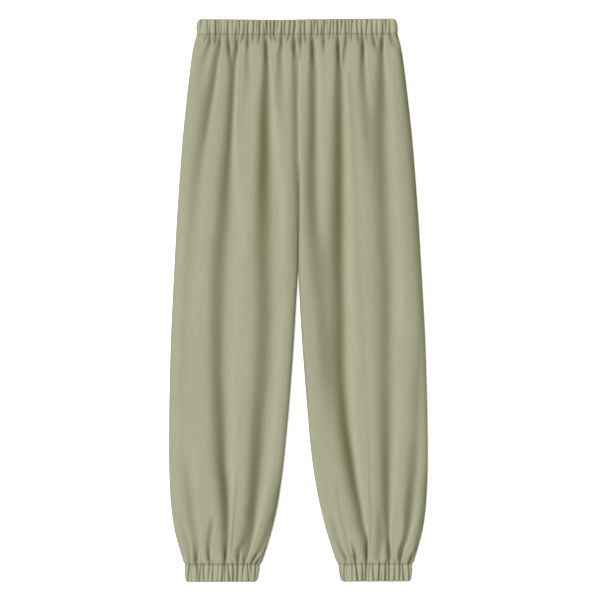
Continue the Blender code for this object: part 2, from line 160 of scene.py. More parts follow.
RIGHT_CUFF_GATHERS = (
    Gather(-197.9, -196.3, -194.3, 3.0, 3.2, 6, 0), Gather(-190.9, -190.9, -189.2, 1.4, 1.2, 0, 0),
    Gather(-182.4, -181, -182.6, 1.5, 4.0, 28, -3), Gather(-179.5, -179, -178.6, 0.6, 1.6, 2, 0),
    Gather(-176.8, -176.4, -173.6, 3.8, 2.2, 3, 0), Gather(-168.4, -169.6, -169.6, 2.4, 3.2, 4, 0),
    Gather(-161.5, -160.7, -158.8, 1.8, 3.2, 40, -4), Gather(-153.6, -153.5, -153, 3.0, 2.6, 8, -0.5),
    Gather(-146.1, -144.3, -142.8, 1.8, 2.0, 3, 0), Gather(-137.7, -136.1, -135.2, 3.8, 2.6, 3, 0),
    Gather(-132.2, -132.1, -132.2, 2.0, 4.2, 40, 2), Gather(-123.3, -125, -126.7, 4.4, 2.6, 3, 0),
    Gather(-117.9, -116.9, -117.7, 3.6, 3.8, 6, -1), Gather(-110.7, -109.5, -109.3, 3.8, 4.0, 24, 2),
    Gather(-101, -100.5, -98.4, 2.0, 3.8, 16, 2), Gather(-89.1, -90.8, -91.6, 4.2, 2.6, 3, 0),
    Gather(-84, -85.5, -85.8, 0.8, 4.2, 26, 14), Gather(-79.3, -77.5, -77.2, 4.4, 4.0, 16, 10),
)
LEFT_CUFF_GATHERS = (
    Gather(75.8, 74.2, 73, 1.6, 1.6, 5, 0), Gather(80.8, 79.5, 81.8, 2.8, 2.8, 12, 0.5),
    Gather(86, 84.4, 86.2, 1.0, 2.4, 3, 0), Gather(94.6, 94.3, 93.7, 2.2, 2.4, 4, 0),
    Gather(103.9, 102.4, 100.4, 4.2, 3.8, 26, -4), Gather(112.7, 112.5, 111.7, 4.2, 3.0, 4, 0),
    Gather(118.2, 118.3, 119.2, 3.4, 4.2, 50, 0.5), Gather(123.7, 123.7, 125.2, 1.6, 2.2, 3, 0),
    Gather(132.8, 131.3, 131.1, 3.4, 2.6, 3, -1), Gather(141, 141.7, 142.8, 4.0, 3.8, 8, -1),
    Gather(145.2, 146.7, 146, 2.8, 0.3, 0, 0), Gather(152.8, 153.3, 153.4, 4.2, 3.8, 10, 3),
    Gather(159.1, 159.5, 159.4, 3.2, 4.0, 50, -2), Gather(169.1, 169.6, 169.8, 3.6, 2.6, 8, 2),
    Gather(176.8, 178.5, 178, 3.0, 4.0, 40, 9), Gather(185.6, 184.7, 183, 4.0, 3.0, 3, 0),
    Gather(195.5, 195.7, 194, 4.2, 4.0, 20, 10),
)

# A crease's stations, in millimetres: down, across, depth, and the reach of its open and its steep side
Crease = namedtuple("Crease", "name stations")
RIGHT_CREASES = (
    Crease("outermost fold", (
        (28, -157, 2.0, 2, 2), (40, -158, 3.0, 4, 3), (48, -161, 3.0, 5, 4), (68, -167, 2.4, 8, 6),
        (100, -175, 1.2, 10, 8), (150, -182, 0.0, 10, 8))),
    Crease("side fold", (
        (28, -141, 2.6, 3, 2), (48, -142, 4.8, 6, 4), (80, -148.5, 5.0, 8, 4.5), (108, -152.5, 5.2, 10, 5),
        (144, -159, 4.7, 12, 6), (197, -168, 3.9, 14, 6.5), (250, -177, 3.0, 13, 8), (303, -184, 2.0, 12, 9),
        (357, -190, 1.2, 10, 9), (463, -199, 0.9, 10, 9), (570, -205, 0.8, 9, 8), (700, -208, 0.0, 9, 8))),
    Crease("outer long fold", (
        (28, -109, 3.0, 3.5, 3), (48, -110.5, 4.6, 4, 3), (62, -113, 5.0, 6, 3.5), (80, -116, 5.8, 7.5, 4),
        (108, -118.5, 6.0, 8, 4.5), (144, -120.5, 6.0, 9, 4.5), (197, -123.5, 5.9, 10, 5), (250, -127.5, 5.4, 12, 7.5),
        (303, -132, 4.8, 13, 11), (357, -136, 4.4, 13, 13), (410, -141, 4.2, 14, 15), (516, -144.5, 4.2, 14, 14),
        (623, -144.5, 4.4, 14, 13), (676, -142.5, 5.0, 13, 12), (730, -140.5, 5.5, 13, 10.5), (783, -138.5, 6.1, 13, 9),
        (836, -133.5, 6.8, 11, 7.5), (872, -131.5, 6.8, 10, 6.5), (925, -130.5, 6.8, 8, 4.5), (943, -131, 6.4, 7, 4.2),
        (968, -132, 4.0, 3.5, 3))),
    Crease("branch of the outer fold", (
        (28, -127, 2.8, 3, 2.5), (48, -126, 3.6, 4, 3), (62, -124.5, 3.4, 5, 3.5), (80, -121.5, 2.0, 6, 4),
        (110, -121, 0.0, 6, 4))),
    Crease("fading gather", (
        (28, -91, 2.4, 3, 2.5), (37, -91, 3.8, 3.5, 3), (62, -92, 3.0, 5, 4), (108, -92, 1.8, 7, 6),
        (144, -95, 0.8, 8, 7), (190, -98, 0.0, 8, 7))),
    Crease("inner long fold", (
        (28, -59, 4.4, 4, 3), (48, -58, 6.2, 4.5, 3), (62, -58, 6.4, 5, 3.5), (80, -58.5, 6.4, 6, 4.5),
        (108, -59, 6.4, 7, 6), (144, -60.5, 6.4, 8.5, 7.5), (197, -61.5, 6.4, 10, 9), (250, -62, 6.3, 12, 12),
        (303, -64, 5.8, 13, 14), (357, -64.5, 5.0, 14, 16), (410, -65, 4.4, 15, 17), (516, -62, 4.2, 15, 16),
        (623, -66, 4.3, 15, 15), (676, -70, 4.6, 14, 14), (730, -74, 5.0, 14, 13), (783, -77, 5.4, 13, 12),
        (836, -80.5, 5.7, 12, 10), (872, -83.5, 6.1, 11, 8.5), (898, -84.5, 6.1, 9, 7), (925, -88, 5.9, 8, 5),
        (943, -91.2, 5.2, 6, 3.6), (968, -98, 3.0, 3.5, 3))),
    Crease("soft hollow by the cuff", (
        (860, -88, 0.0, 12, 9), (900, -93, 2.4, 12, 8), (930, -98, 3.6, 10, 7), (950, -100, 2.4, 8, 6),
        (962, -100, 0.0, 6, 5))),
    Crease("fork of the inner fold", (
        (912, -90, 0.0, 6, 5), (930, -99, 2.7, 6.5, 5), (943, -107, 4.4, 7, 4.5), (957, -109, 4.6, 6, 3.5),
        (968, -109, 3.6, 3.5, 3))),
    Crease("gather by the centre", (
        (28, -31, 3.0, 3, 2.5), (48, -32, 3.8, 4, 3.5), (62, -34, 3.8, 5.5, 5), (108, -34, 2.6, 7, 6),
        (144, -33, 1.6, 8, 7), (190, -29, 0.5, 8, 7), (230, -27, 0.0, 8, 7))),
    Crease("crotch fold", (
        (28, -9, 3.6, 3.5, 3), (48, -8.5, 5.2, 4.5, 3.5), (80, -8, 4.4, 4.8, 3.5), (144, -7, 4.2, 6.5, 3.5),
        (197, -6.5, 3.8, 7, 4), (250, -7, 3.6, 8, 4.5), (303, -4, 3.4, 9, 5), (357, -4, 3.2, 9, 4),
        (410, -4, 3.0, 10, 4), (463, -2, 2.0, 10, 4), (520, 0, 0.0, 10, 4))),
    Crease("hollow by the centre seam", (
        (50, -3.0, 0.0, 2.4, 1.4), (60, -3.0, 2.4, 2.4, 1.4), (80, -3.0, 3.4, 2.6, 1.4), (108, -3.0, 3.4, 2.6, 1.4),
        (144, -3.0, 1.2, 2.6, 1.5), (197, -3.0, 0.9, 2.8, 1.6), (250, -2.4, 1.8, 2.8, 1.6), (290, -2.4, 1.4, 2.8, 1.6),
        (330, -2.4, 0.0, 2.8, 1.6))),
    Crease("cuff fold by the side", (
        (760, -209, 0.0, 10, 8), (783, -205, 0.8, 10, 8), (836, -196, 1.8, 10, 8), (872, -193, 2.4, 9, 7),
        (925, -185, 2.3, 7, 7), (943, -183, 3.6, 5, 6), (957, -181.5, 4.9, 4, 3), (968, -181, 3.4, 3.5, 3))),
    Crease("short cuff fold", (
        (880, -154, 0.0, 5, 4), (900, -156, 2.8, 6, 4.5), (925, -160, 3.5, 6, 4), (943, -161, 3.8, 5, 3.5),
        (957, -161, 4.0, 4, 3.5), (968, -159, 3.0, 3.5, 3))),
    Crease("thin crease", (
        (795, -108, 0.0, 3, 2), (836, -111, 0.9, 3, 2.4), (890, -115, 1.0, 3, 2.4), (940, -119, 0.9, 3, 2.4),
        (955, -121, 0.0, 3, 2))),
    Crease("cuff fold by the inseam", (
        (800, -36, 0.0, 8, 6), (836, -40, 2.0, 9, 6), (872, -46, 3.0, 10, 6), (898, -53, 3.8, 10, 6),
        (925, -62, 4.2, 8.5, 5.5), (943, -69.5, 4.4, 6.5, 4.5), (957, -79.5, 4.4, 4.5, 3.5), (968, -85, 3.8, 3.5, 3))),
    Crease("fold at the side seam", (
        (885, -209, 0.0, 6, 5), (898, -208, 1.0, 6, 5), (925, -200, 1.4, 6, 4.5), (943, -196, 1.4, 5, 4),
        (968, -194, 2.6, 3.5, 3))),
    Crease("fold at the inseam", (
        (930, -57, 0.0, 5, 4), (943, -61, 1.8, 5, 4), (957, -67, 1.5, 4, 3), (968, -71, 2.0, 3.5, 3))),
    Crease("ridge by the side", ((938, -177, 0.0, 2, 2), (952, -177, -1.0, 2.6, 2.2), (968, -177, -0.8, 2, 2))),
    Crease("ridge by the fork", ((932, -99, 0.0, 2, 2), (950, -101, -1.2, 2.6, 2.2), (968, -105, -0.8, 2, 2))),
)
LEFT_CREASES = (
    Crease("gather at the centre", (
        (28, 3, 2.6, 3, 2.5), (48, 3, 2.6, 4, 3), (62, 3, 1.6, 4, 3), (80, 3, 0.0, 4, 3))),
    Crease("centre fold", (
        (28, 23, 3.8, 4, 3.5), (48, 24, 5.4, 5, 4.5), (80, 24, 5.6, 6.5, 6), (108, 24, 5.6, 7.5, 6.5),
        (197, 24, 5.5, 10, 6.5), (250, 22.5, 5.1, 11, 8.5), (303, 22, 4.9, 11, 10), (357, 24, 4.3, 12, 11),
        (410, 27.5, 3.4, 13, 12), (463, 31, 2.7, 13, 13), (516, 39, 2.2, 13, 11), (600, 44, 1.7, 13, 11),
        (700, 49, 0.9, 12, 10), (770, 52, 0.0, 12, 10))),
    Crease("branch of the centre fold", (
        (380, 39, 0.0, 8, 7), (410, 42, 0.6, 8, 7), (463, 44, 0.7, 9, 8), (505, 43, 0.0, 9, 8))),
    Crease("short gather", (
        (28, 44, 2.6, 3, 2.5), (37, 43, 3.0, 3, 3), (48, 43, 2.2, 4, 3.5), (62, 45, 1.2, 5, 4), (85, 46, 0.0, 5, 4))),
    Crease("inner long fold", (
        (28, 69, 3.8, 4, 3), (48, 69.5, 6.0, 5, 3), (80, 70, 6.4, 6, 4), (108, 70.5, 6.4, 7.5, 6),
        (197, 70, 6.3, 10, 8), (250, 70, 6.4, 12, 9), (303, 69.5, 6.4, 13, 9.5), (357, 69.5, 6.3, 15, 10),
        (410, 69, 6.2, 18, 10), (516, 70.5, 6.0, 20.5, 10), (623, 72, 6.0, 21.5, 10), (676, 75.5, 6.2, 18, 9.5),
        (730, 81, 6.4, 15, 8), (783, 89.5, 6.6, 13, 7), (836, 98, 6.7, 12, 6), (872, 105.5, 6.4, 11, 5.4),
        (898, 110, 6.4, 10.5, 4.6), (925, 118, 6.7, 10, 3.4), (943, 119.5, 6.7, 7, 3), (968, 120, 4.0, 3, 2))),
    Crease("branch of the inner fold", (
        (28, 86, 2.6, 3, 2.5), (37, 84, 3.4, 3.5, 3), (48, 82, 3.6, 4, 3.5), (80, 79, 2.2, 5, 4), (120, 78, 0.0, 5, 4))),
    Crease("fading gather", (
        (28, 112, 3.2, 3.5, 3), (37, 113, 4.6, 4, 3), (48, 113.5, 5.2, 5, 3.5), (62, 113, 5.0, 6, 4),
        (80, 112.5, 4.8, 6.5, 4.5), (108, 113, 4.2, 8, 5.5), (144, 115.5, 3.2, 9, 6.5), (200, 119.5, 1.8, 9, 8),
        (280, 124, 0.0, 9, 8))),
    Crease("faint long crease", (
        (95, 91, 0.0, 6, 5), (108, 92, 0.6, 6, 5), (303, 102, 0.6, 7, 6), (516, 111, 0.6, 7, 6),
        (623, 118, 0.6, 6, 5), (730, 123, 0.7, 5, 4), (783, 125, 0.9, 3, 2.4), (836, 126, 1.0, 3, 2.4),
        (890, 129, 1.0, 3, 2.4), (940, 126, 0.8, 3, 2.4), (962, 123, 0.0, 3, 2.4))),
    Crease("outer long fold", (
        (28, 148, 3.2, 4, 3), (48, 147, 5.4, 6, 3.5), (62, 146.5, 5.6, 7, 4), (80, 146, 5.6, 9, 5),
        (108, 145.5, 5.2, 12, 7), (144, 145, 4.8, 14, 9.5), (197, 143.5, 4.4, 17, 12), (303, 146, 4.0, 18, 14),
        (410, 149, 3.8, 17, 14), (463, 152, 3.8, 17, 13), (623, 153, 3.9, 15, 12.5), (676, 153, 4.2, 14, 12),
        (730, 154, 4.6, 13, 11), (783, 154, 5.2, 12, 8.5), (836, 154, 5.6, 11, 7), (872, 155, 6.0, 10.5, 5.5),
        (898, 156.5, 6.0, 8.5, 3.8), (925, 157.5, 6.0, 7.5, 2.9), (943, 160, 5.4, 6, 2.8), (968, 161, 3.6, 3.5, 3))),
    Crease("branch of the outer fold", (
        (28, 132, 2.8, 3, 2.5), (37, 132, 3.0, 3.5, 3), (48, 136, 2.4, 4, 3), (62, 141, 1.2, 5, 3.5),
        (75, 145, 0.0, 5, 4))),
    Crease("side fold", (
        (28, 162, 2.4, 3, 3), (48, 170, 1.6, 7, 6), (62, 180, 2.0, 9, 8), (108, 186, 2.2, 12, 9),
        (197, 193, 2.4, 13, 9), (303, 202, 2.4, 13, 9), (410, 207, 2.4, 12, 9), (516, 213, 2.4, 12, 8),
        (570, 214, 2.4, 12, 7), (623, 212, 2.6, 12, 8), (676, 209, 2.8, 12, 9), (730, 207, 2.8, 12, 9),
        (783, 203, 4.0, 12, 9), (836, 198, 4.6, 10, 9), (872, 194, 5.4, 8, 9), (898, 192.5, 5.9, 6.5, 6),
        (925, 187.8, 6.0, 5.5, 4.6), (943, 181.2, 6.2, 5, 4), (957, 178, 5.2, 4, 3.5), (968, 177, 3.8, 3.5, 3))),
    Crease("fold at the side seam", (
        (790, 225, 0.0, 7, 6), (836, 222, 2.2, 7, 6), (872, 219, 2.1, 7, 6), (898, 216, 2.5, 6, 5),
        (925, 210, 2.6, 6, 4), (943, 207, 2.8, 5, 4), (957, 198, 3.0, 4, 3), (968, 194, 2.6, 3.5, 3))),
    Crease("cuff fold by the inseam", (
        (880, 57, 0.0, 6, 5), (898, 61, 1.4, 6, 5), (925, 68, 1.8, 6, 5), (943, 75, 2.6, 5, 4),
        (957, 82, 4.0, 4, 3.5), (968, 85, 3.0, 3.5, 3))),
    Crease("faint crease by the inseam", (
        (820, 66, 0.0, 5, 4), (836, 67, 0.7, 5, 4), (872, 73, 1.0, 5, 4), (898, 79, 1.0, 5, 4),
        (925, 84, 1.2, 5, 4), (943, 88, 1.4, 4, 3), (957, 93, 1.6, 3.5, 3), (968, 95, 1.8, 3, 3))),
    Crease("short cuff fold", (
        (925, 93, 0.0, 4, 3), (943, 97, 3.0, 4, 3.5), (957, 100, 4.6, 4, 3), (968, 102, 3.8, 3.5, 3))),
    Crease("short cuff fold by the side", (
        (860, 141, 0.0, 10, 8), (900, 143, 2.6, 10, 8), (925, 143.5, 3.5, 9, 8), (943, 141.5, 3.6, 9, 6),
        (957, 140, 3.2, 8, 5), (968, 142, 2.8, 6, 3))),
)

# The back's creases, each a channel between stretches that rest on the floor
RIGHT_BACK_CREASES = (
    Crease("side fold", ((28, -150, 1.6, 3, 3), (250, -166, 1.8, 9, 9), (560, -186, 0.0, 9, 9))),
    Crease("outer long fold", (
        (28, -110, 1.8, 3, 3), (300, -112, 2.4, 12, 8), (700, -122, 2.4, 12, 8), (968, -130, 1.8, 3, 3))),
    Crease("inner long fold", (
        (28, -50, 1.8, 3, 3), (260, -48, 2.2, 12, 8), (640, -72, 2.2, 12, 8), (968, -108, 1.8, 3, 3))),
    Crease("cuff fold", ((820, -186, 0.0, 6, 6), (968, -172, 1.8, 3, 3))),
)
LEFT_BACK_CREASES = (
    Crease("short gather", ((28, 15, 1.8, 3, 3), (150, 18, 0.0, 8, 8))),
    Crease("inner long fold", (
        (28, 52, 1.8, 3, 3), (280, 60, 2.4, 8, 12), (660, 86, 2.2, 8, 12), (968, 112, 1.8, 3, 3))),
    Crease("outer long fold", (
        (28, 118, 1.8, 3, 3), (240, 122, 2.2, 8, 12), (700, 144, 2.4, 8, 12), (968, 158, 1.8, 3, 3))),
    Crease("side fold", ((28, 152, 1.6, 3, 3), (200, 166, 1.8, 9, 9), (500, 188, 0.0, 9, 9))),
    Crease("cuff fold", ((840, 184, 0.0, 6, 6), (968, 180, 1.8, 3, 3))),
)

CLOTH_COLOUR = (0.275, 0.276, 0.194, 1.0)
# The casing's colour, about a tenth lighter than the leg cloth: painted light, so the casing looks more brightly lit
# than the legs
LIT_CASING_COLOUR = (0.306, 0.307, 0.217, 1.0)
# The colour the cloth is painted towards deep in its folds: painted shade
SHADE_COLOUR = (0.064, 0.066, 0.012, 1.0)
# The thread is darker than the cloth: painted shade of the pits that the stitches sink into
THREAD_COLOUR = (0.150, 0.150, 0.085, 1.0)
FLOOR_COLOUR = (0.90, 0.90, 0.90, 1.0)


def smooth_step(share):
    """A share from 0 to 1 that starts and ends gently."""
    share = np.clip(share, 0.0, 1.0)
    return share * share * (3 - 2 * share)


def through(rows, at, column):
    """A table column's values on a smooth curve through its rows, whose first column says where they lie."""
    places = np.array([row[0] for row in rows], float)
    values = np.array([row[column] for row in rows], float)
    steps = np.diff(values) / np.diff(places)
    slopes = np.concatenate((steps[:1], (values[2:] - values[:-2]) / (places[2:] - places[:-2]), steps[-1:]))
    at = np.clip(at, places[0], places[-1])
    low = np.clip(np.searchsorted(places, at, side="right") - 1, 0, len(places) - 2)
    span = places[low + 1] - places[low]
    t = (at - places[low]) / span
    start = (1 + 2 * t) * (1 - t) ** 2 * values[low] + t * (1 - t) ** 2 * span * slopes[low]
    end = t * t * (3 - 2 * t) * values[low + 1] + t * t * (t - 1) * span * slopes[low + 1]
    return start + end


def outer_edge(down):
    return through(OUTLINE, down, 1)


def lean(down):
    return LEAN_AT_WAIST + (LEAN_AT_HEMS - LEAN_AT_WAIST) * down / LENGTH


def inner_edge(down, side):
    """The edge of a leg along its centre seam and inseam, as a distance on its own side."""
    centre = side * through(CENTRE_LEANS, down, 1)
    return centre + np.maximum(SEAM_GAP / 2, through(OUTLINE, down, 2))


def fullness(down):
    """0 at the gathered rings and 1 where the legs have filled out."""
    return smooth_step((down - PANELS_TOP) / FILL_LENGTH) * smooth_step((PANELS_BOTTOM - down) / FILL_LENGTH)


def leg_share(down):
    """0 where the two halves meet in the centre seams and 1 where each leg has its own inseam."""
    return smooth_step((down - CROTCH_DOWN + CROTCH_BLEND) / (2 * CROTCH_BLEND))


def rounded(distance, edge):
    """0 at an edge and 1 from the given distance inwards, on a quarter of an ellipse."""
    away = 1 - np.clip(distance / edge, 0.0, 1.0)
    return np.sqrt(1 - away * away)


def hollow(distance, open_side, steep_side, power=2.0):
    """A fold's cross-section, 1 at its bottom, and longer drawn out on a wide open side."""
    reach = np.where(distance < 0, open_side, steep_side)
    power = np.where(distance < 0, np.clip(power - 1.4 * (1 - steep_side / open_side), 1.2, power), power)
    return np.exp(-(np.abs(distance / reach) ** power))


def crease_depth(creases, across, down):
    """How far the creases together draw the cloth in, in metres."""
    depth = np.zeros_like(across)
    for crease in creases:
        rows = [[size * MM for size in station] for station in crease.stations]
        middle, deep, open_side, steep_side = (through(rows, down, column) for column in (1, 2, 3, 4))
        narrow = 0.72 + 0.28 * fullness(down)
        open_side, steep_side = open_side * narrow, steep_side * narrow
        distance = across - middle - lean(down)
        lip = 0.12 * np.maximum(deep, 0) * hollow(distance - 2.1 * steep_side, 0.9 * steep_side, 0.9 * steep_side)
        inside = (down >= rows[0][0] - MM) & (down <= rows[-1][0] + MM)
        depth += np.where(inside, deep * hollow(distance, open_side, steep_side) - lip, 0.0)
    return depth


def gather_profile(distance, deep, spread=1.0):
    """A gather's cross-section: a narrow valley in a shallow wide one, with a small lip on its steep side."""
    wide = np.clip(0.3 + 0.24 * deep / MM, 0.6, 1.4)
    valley = 0.86 * hollow(distance, 0.0017 * wide * spread, 0.0012 * wide * (0.8 + 0.2 * spread), 1.5)
    return valley + 0.14 * hollow(distance, 0.005, 0.003) - 0.13 * hollow(distance - 0.0031, 0.0014, 0.0020)


def limited_to(depth, deepest):
    """A depth that comes close to the deepest but never passes it."""
    return depth / (1 + np.abs(depth / deepest) ** 3) ** (1 / 3)


Ring = namedtuple("Ring", "rows side gathers back_gathers seed steps")


def back_gathers_of(rows, side, count, seed):
    """A ring's back gathers, as uneven as those of its front."""
    chances = np.random.default_rng(seed).uniform(-1, 1, (count, 6))
    low, high = sorted((side * rows[-1].inner / MM, side * rows[-1].outer / MM))
    gathers = []
    for number, chance in enumerate(chances):
        edge = low + (high - low) * (number + 0.5 + 0.3 * chance[0]) / count
        depths = 2.8 + chance[1], 2.8 + 1.2 * chance[2]
        gathers.append(Gather(edge, edge + chance[3], edge + 1.6 * chance[4], *depths, 14 + 12 * chance[5], 0))
    return tuple(gathers)


WAIST_RING = Ring(WAISTBAND_ROWS, 1, WAIST_GATHERS, back_gathers_of(WAISTBAND_ROWS, 1, 46, 5), 61, WAIST_STEPS)
CUFF_RINGS = {
    -1: Ring(RIGHT_CUFF_ROWS, -1, RIGHT_CUFF_GATHERS, back_gathers_of(RIGHT_CUFF_ROWS, -1, 17, 6), 67, CUFF_STEPS),
    1: Ring(LEFT_CUFF_ROWS, 1, LEFT_CUFF_GATHERS, back_gathers_of(LEFT_CUFF_ROWS, 1, 17, 7), 73, CUFF_STEPS),
}


def chances_of(count, seed):
    """Shares from -1 to 1, five for each of a row of things that are to be uneven."""
    return np.random.default_rng(seed).uniform(-1, 1, (count, 5))


def ring_edges(ring, down):
    """The two ends of a ring's loop at each height, the lower one first."""
    outer = ring.side * through(ring.rows, down, 1)
    inner = ring.side * through(ring.rows, down, 2)
    return np.minimum(inner, outer), np.maximum(inner, outer)


def ring_loop(ring):
    """The flat length of a ring's loop at its middle height, and its whole length round."""
    low, high = ring_edges(ring, ring.rows[1].down)
    flat = float(high - low) - RING_HEIGHT
    return flat, 2 * flat + math.pi * RING_HEIGHT


def from_free_edge(ring, down):
    """0 at a ring's free edge and 1 at its seam with the panels."""
    share = (down - ring.rows[0].down) / (ring.rows[-1].down - ring.rows[0].down)
    return share if ring.rows[0].down == 0 else 1 - share


def along_loop(ring, across, down):
    """The place along a ring's loop of a place across its front."""
    flat, whole = ring_loop(ring)
    low, high = ring_edges(ring, down)
    first, last = low + RING_HEIGHT / 2, high - RING_HEIGHT / 2
    return (across - first) * flat / (last - first)


def ring_valleys(ring, along, down):
    """How deep a ring's gathers draw its casing in."""
    flat, whole = ring_loop(ring)
    share = from_free_edge(ring, down)
    depth = np.zeros_like(along)
    for gathers, behind in ((ring.gathers, False), (ring.back_gathers, True)):
        for gather in gathers:
            across = gather.edge * (1 - share) * (1 - 2 * share) + gather.middle * 4 * share * (1 - share)
            across += gather.seam * share * (2 * share - 1)
            middle = along_loop(ring, across * MM + lean(down), down)
            if behind:
                middle = 2 * flat + math.pi * RING_HEIGHT / 2 - middle
            distance = (along - middle + whole / 2) % whole - whole / 2
            deep = MM * (gather.edge_depth + (0.88 * gather.seam_depth - gather.edge_depth) * share)
            depth += deep * gather_profile(distance, deep, 0.70)
    for place in (flat + 0.008, flat + 0.015, whole - 0.014, whole - 0.007):
        distance = (along - place + whole / 2) % whole - whole / 2
        depth += 0.0022 * hollow(distance, 0.0019, 0.0015, 1.35)
    return limited_to(depth, DEEPEST_GATHER)


def panel_gathers(gathers, across, away, lean_there):
    """The depth in a panel, so far away from a ring's stitching, of the tails of the ring's gathers."""
    depth = np.zeros_like(across)
    for gather in gathers:
        tail = max(gather.tail, 2) * MM
        near = away < 1.2 * tail + 0.004
        middle = MM * (gather.seam + gather.drift * np.clip(away[near] / tail, 0, 1.3)) + lean_there
        fade = 1 - smooth_step((away[near] - 0.25 * tail) / (0.95 * tail + 0.003))
        deep = MM * gather.seam_depth * fade * (0.75 if gather.tail < 14 else 1.0)
        depth[near] += deep * gather_profile(across[near] - middle, deep, 0.8 + away[near] / 0.018)
    return limited_to(depth, DEEPEST_GATHER)


def both_gathers(across, down, side, behind):
    """The depth of the waistband's and the cuff's gathers in a panel."""
    waist, cuff = [ring.back_gathers if behind else ring.gathers for ring in (WAIST_RING, CUFF_RINGS[side])]
    depth = panel_gathers(waist, across, down - PANELS_TOP, LEAN_AT_WAIST)
    return depth + panel_gathers(cuff, across, PANELS_BOTTOM - down, LEAN_AT_HEMS)


def ripples(across, down, seed, amount):
    """Soft uneven ripples that run along the legs."""
    wide = np.array([noise.noise((a * 45, d * 7, seed)) for a, d in zip(across, down)])
    fine = np.array([noise.noise((a * 110, d * 16, seed + 5)) for a, d in zip(across, down)])
    return amount * (wide + 0.35 * fine)


def seam_groove(down):
    """The dip of a panel's cloth into the stitching at its two ends."""
    top = np.exp(-(((down - PANELS_TOP) / 0.0028) ** 2))
    bottom = np.exp(-(((PANELS_BOTTOM - down) / 0.0028) ** 2))
    return 0.0004 * (top + bottom)


def painted_shade_of(depth):
    """How dark the cloth is painted at a share of the greatest depth: painted shade, 1 at the bottom of a fold, and
    below 0 a painted highlight on a lip.
    """
    return np.where(depth > 0, np.clip(depth, 0, 1) ** 1.2, np.clip(1.25 * depth, -0.35, 0))


def front_surface(across, down, side, creases):
    """The front's outer height at each place, and its painted shade from 0 to 1: deeper in a fold, darker where the
    cloth turns away from the light by the side seam and the inseam, and below 0 a painted highlight on the centre
    seam's lip.
    """
    full, leg = fullness(down), leg_share(down)
    position = side * across
    inner, outer = inner_edge(down, side), outer_edge(down)
    edge = RING_EDGE + full * (SIDE_EDGES[side] - RING_EDGE)
    inseam_edge = RING_EDGE + full * (INSEAM_EDGES[side] - RING_EDGE)
    shape = rounded(outer - position, edge)
    shape *= 1 - leg * (1 - rounded(position - inner, inseam_edge))
    top = RING_HEIGHT + full * (LEG_HEIGHT - RING_HEIGHT)
    lowest = SEAM_HEIGHT + SEAM_GAP / 4
    gathers = both_gathers(across, down, side, False)
    from_ring = smooth_step(np.minimum(down - PANELS_TOP, PANELS_BOTTOM - down) / 0.012)
    folds = crease_depth(creases, across, down) * from_ring
    depth = (np.maximum(folds, 0) ** 3 + np.maximum(gathers, 0) ** 3) ** (1 / 3)
    depth += np.minimum(folds, 0) + np.minimum(gathers, 0)
    deepest = DEEPEST_AT_RINGS + full * (DEEPEST_IN_LEGS - DEEPEST_AT_RINGS)
    limited = limited_to(depth, deepest)
    limited += seam_groove(down) + ripples(across, down, 3.0 + side, 0.0004 * full)
    height = lowest + (top - lowest) * shape - limited * shape
    if side > 0:
        seam = smooth_step((down - 0.036) / 0.02) * smooth_step((0.262 - down) / 0.02)
        lip = seam * np.exp(-(((position - inner) / 0.0021) ** 2))
        height += 0.0006 * lip
        # A painted highlight along the centre seam's lip
        limited -= 0.0024 * lip
    # Painted shade where the cloth turns away from the light, by the side seam and along the inseam
    side_shade, inseam_shade = (0.10, 0.45) if side < 0 else (0.42, 0.25)
    shaded = side_shade * hollow(outer - position, 0.0075, 0.0075) + 0.12 * hollow(outer - position, 0.002, 0.002)
    apart = smooth_step((down - 0.42) / 0.10)
    reach = 0.0016 + apart * (0.0019 - 0.0020 * side)
    shaded += smooth_step((down - 0.27) / 0.15) * inseam_shade * hollow(position - inner, reach, reach)
    # How much of the gathers' depth is painted as shade, less near the waistband
    gather_shade_share = 0.8 - 0.15 * smooth_step((0.065 - down) / 0.03) - 0.25 * smooth_step((0.045 - down) / 0.012)
    return height, painted_shade_of((limited + gather_shade_share * gathers) / DEEPEST_IN_LEGS + shaded)


def back_surface(across, down, side, creases):
    """The back's outer height at each place, and the painted shade of its folds, from 0 to 1."""
    full, leg = fullness(down), leg_share(down)
    position = side * across
    inner, outer = inner_edge(down, side), outer_edge(down)
    edge = RING_EDGE + full * (BACK_EDGE - RING_EDGE)
    by_side = 1 - rounded(outer - position, edge)
    by_inseam = leg * (1 - rounded(position - inner, edge))
    rounding = np.maximum(by_side, by_inseam)
    depth = crease_depth(creases, across, down) + both_gathers(across, down, side, True)
    depth += 0.0009 * (1 - leg) * hollow(position - inner, 0.0018, 0.0018)
    depth = limited_to(np.maximum(0.0, depth - 0.0002), DEEPEST_BACK_FOLD)
    highest = SEAM_HEIGHT - SEAM_GAP / 4
    height = highest * rounding + depth * (1 - rounding)
    return height, np.clip(depth / DEEPEST_IN_LEGS, 0.0, 1.0)


def panel_places(u, v, side, front):
    """The place of a panel's point from its shares across and along the panel, closer together at the edges."""
    v = v - 0.55 * np.sin(2 * np.pi * v) / (2 * np.pi)
    down = PANELS_TOP + (PANELS_BOTTOM - PANELS_TOP) * v
    full = fullness(down)
    edge = RING_EDGE + full * ((SIDE_EDGES[side] if front else BACK_EDGE) - RING_EDGE)
    inseam_edge = RING_EDGE + full * ((INSEAM_EDGES[side] if front else BACK_EDGE) - RING_EDGE)
    inner, outer = inner_edge(down, side), outer_edge(down)
    first, last = inner + inseam_edge, outer - edge
    near, far = 0.06, 0.89
    position = first + (last - first) * (u - near) / (far - near)
    position = np.where(u < near, first - inseam_edge * np.cos(np.pi / 2 * u / near), position)
    position = np.where(u > far, last + edge * np.sin(np.pi / 2 * (u - far) / (1 - far)), position)
    return side * position, down


